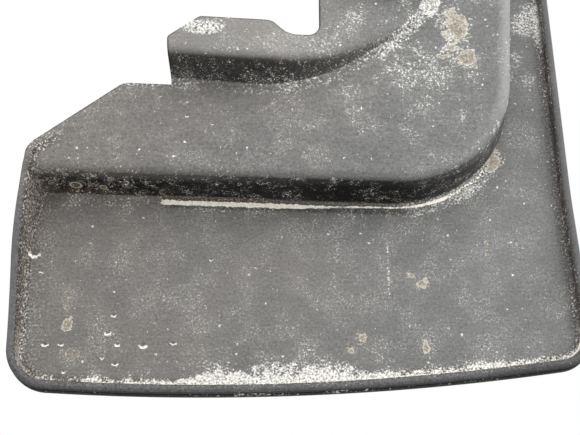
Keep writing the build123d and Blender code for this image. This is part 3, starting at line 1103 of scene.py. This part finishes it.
def hex_screw(node, count=48):
    """Hex head with a chamfered, dished top, plain neck and a real thread."""
    x, z, h = node_box(node)
    tip, top = h
    centre = np.array([x.mean(), z.mean()])
    angle = np.arange(count) * 2 * math.pi / count
    folded = (angle + math.pi / 6) % (math.pi / 3) - math.pi / 6
    hexagon = HEAD_ACROSS_FLATS / 2 / np.cos(folded)
    seat = top - HEAD_T
    thread_top = PANEL_FRONT_Y    # the pads' back faces, at Y = 0
    shoulder = top - (hexagon - HEAD_FLAT_R) * HEAD_SLOPE
    rings = [
        (AXIS_R, top - HEAD_DISH), (HEAD_DISH_R - 0.5, top - HEAD_DISH), (HEAD_DISH_R, top),
        (HEAD_FLAT_R - 0.1, top), (hexagon - 0.12, shoulder), (hexagon, shoulder - 0.15),
        (hexagon, seat + HEAD_BREAK), (hexagon - HEAD_BREAK, seat), (SHANK_R, seat), (SHANK_R, thread_top),
    ]
    steps = int(round((thread_top - tip) / THREAD_PITCH * THREAD_STEPS))
    for k in range(steps + 1):
        height = thread_top - (thread_top - tip) * k / steps
        phase = ((thread_top - height) / THREAD_PITCH + angle / (2 * math.pi)) % 1.0
        tooth = np.clip(1.6 * np.abs(2 * phase - 1) - 0.3, 0, 1)
        # The crests taper away at the tip and under the plain neck.
        crest = THREAD_R - max(0.0, tip + 0.9 - height) - max(0.0, height - thread_top + 0.4)
        rings.append((np.minimum(THREAD_R - THREAD_DEPTH * tooth, crest), height))
    rings.append((AXIS_R, tip))
    flat = [centre + np.column_stack([r * np.cos(angle), r * np.sin(angle)]) for r, _ in rings]
    heights = [np.full(count, 1.0) * height for _, height in rings]
    chain = [np.arange(count) + count * k for k in range(len(rings))]
    return np.vstack(flat), np.concatenate(heights), strip_faces(chain)


def build_hardware():
    zinc = steel_material("zinc_steel", (0.60, 0.60, 0.57), (0.40, 0.39, 0.36), 0.02, 0.34)
    spring = steel_material("spring_steel", (0.16, 0.155, 0.15), (0.09, 0.088, 0.085), 0.04, 0.38)
    screw = steel_material("screw_steel", (0.52, 0.50, 0.44), (0.34, 0.32, 0.27), 0.05, 0.36)
    coated = steel_material(
        "strip_steel", (0.022, 0.022, 0.023), (0.040, 0.039, 0.038), 0.06, 0.42, metallic=False)
    x, z, h = node_box("retaining_strip")
    studs = [stud_place(stud) for stud in STUDS]
    holes = [circle(a, b, SLEEVE_BORE_R, 64) for a, b in studs if x[0] < a < x[1]]
    corners = [(x[1], z[0]), (x[1], z[1]), (x[0], z[1]), (x[0], z[0])]
    border = rounded([(a, b, STRIP_CORNER_R) for a, b in corners], 1.0)
    place_piece("steel_strip", plate(border, holes, *h, 0.45), "retaining_strip", coated)
    for n in range(1, len(STUDS) + 1):
        sleeve, plain, split, bolt = (
            f"{kind}_{n}" for kind in ("sleeve", "plain_washer", "spring_washer", "screw"))
        place_piece(f"bush_{n}", ring_plate(sleeve, SLEEVE_BORE_R, 0.3), sleeve, zinc)
        place_piece(f"flat_washer_{n}", ring_plate(plain, WASHER_BORE_R, 0.35), plain, zinc)
        place_piece(f"lock_washer_{n}", split_ring(split), split, spring)
        place_piece(f"hex_screw_{n}", hex_screw(bolt), bolt, screw)


def steel_material(name, bright, dull, rust_share, rough, metallic=True):
    """Plated or coated steel with blotchy plating, fine scratches and rust starting in spots."""
    s = Shader(name)
    place = s.node("TexCoord", {}).outputs["Object"]
    place = s.vector("MULTIPLY", place, (1 / MM, 1 / MM, 1 / MM))
    blotch = s.noise(place, 0.35, 4.0, 0.6)
    fine = s.noise(place, 2.5, 4.0, 0.7)
    scratches = s.noise(s.vector("MULTIPLY", place, (0.4, 4.0, 5.0)), 1.0, 3.0, 0.6)
    colour = s.mix(blotch.step(0.35, 0.65), bright, dull)
    colour = s.shade(colour, scratches.centred(0.5) + 1.0)
    rust = s.noise(place, 0.5, 6.0, 0.75) + fine.centred(0.3)
    rust = rust.step(0.72 - rust_share, 0.80 - rust_share)
    colour = s.mix(rust, colour, s.mix(fine, DARK_RUST, BRIGHT_RUST))
    dust = (s.noise(place, 1.2, 4.0, 0.6) + blotch.centred(0.4)).step(0.60, 0.72)
    colour = s.mix(dust * 0.30, colour, CHALK)
    if metallic:
        bare = rust.step(0.0, 1.0, 1.0, 0.0) * dust.step(0.0, 1.0, 1.0, 0.6)
        s.feed(s.surface.inputs["Metallic"], bare)
    normal = s.bump(rust * 0.8 + (fine * 0.25 + scratches * 0.2), STEEL_RELIEF)
    return s.finish(colour, rust * 0.4 + rough + blotch.centred(0.25), normal)


moulding = build_moulding()
moulding.data.materials.append(rubber_material())
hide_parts("upper_moulding", "lower_flap")
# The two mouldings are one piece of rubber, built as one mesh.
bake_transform(moulding)

build_hardware()

# ---- Camera, light and floor ----
TILT = math.radians(22.0)
CAMERA_DISTANCE = 0.5876
LENS = 70.13793
SENSOR = 36.0
FLOOR_SIZE = 60.0
FLOOR_Z = -1.1

scene = bpy.context.scene
camera = linked("camera", bpy.data.cameras.new("camera"))
camera.data.sensor_width = SENSOR
camera.data.lens = LENS
aim = Vector((-ORIGIN_X, PANEL_FRONT_Y, -ORIGIN_Z)) * MM
forward = Vector((0, math.cos(TILT), math.sin(TILT)))
camera.location = aim - forward * CAMERA_DISTANCE
camera.rotation_euler = (math.radians(90.0) + TILT, 0, 0)
scene.camera = camera

world = bpy.data.worlds.new("world")
scene.world = world
world.use_nodes = True
background = world.node_tree.nodes["Background"].inputs
background["Color"].default_value = (1, 1, 1, 1)
background["Strength"].default_value = 1.0
scene.view_settings.view_transform = "Standard"


def softbox(name, place, target, size, watts):
    lamp = linked(name, bpy.data.lights.new(name, "AREA"))
    lamp.data.size = size
    lamp.data.energy = watts
    lamp.location = place
    lamp.rotation_euler = (Vector(target) - Vector(place)).to_track_quat("-Z", "Y").to_euler()


softbox("key", place=(0.05, -0.55, 0.30), target=(-0.02, 0.0, -0.10), size=0.6, watts=2.6)
softbox("side", place=(0.70, -0.35, 0.05), target=(0.05, 0.0, -0.12), size=0.5, watts=4.5)

bpy.ops.mesh.primitive_plane_add(size=FLOOR_SIZE, location=(0, 0, FLOOR_Z))
floor = bpy.context.object
floor.name = "floor"
floor.data.materials.append(Shader("floor").finish((0.80, 0.80, 0.79), 0.9))
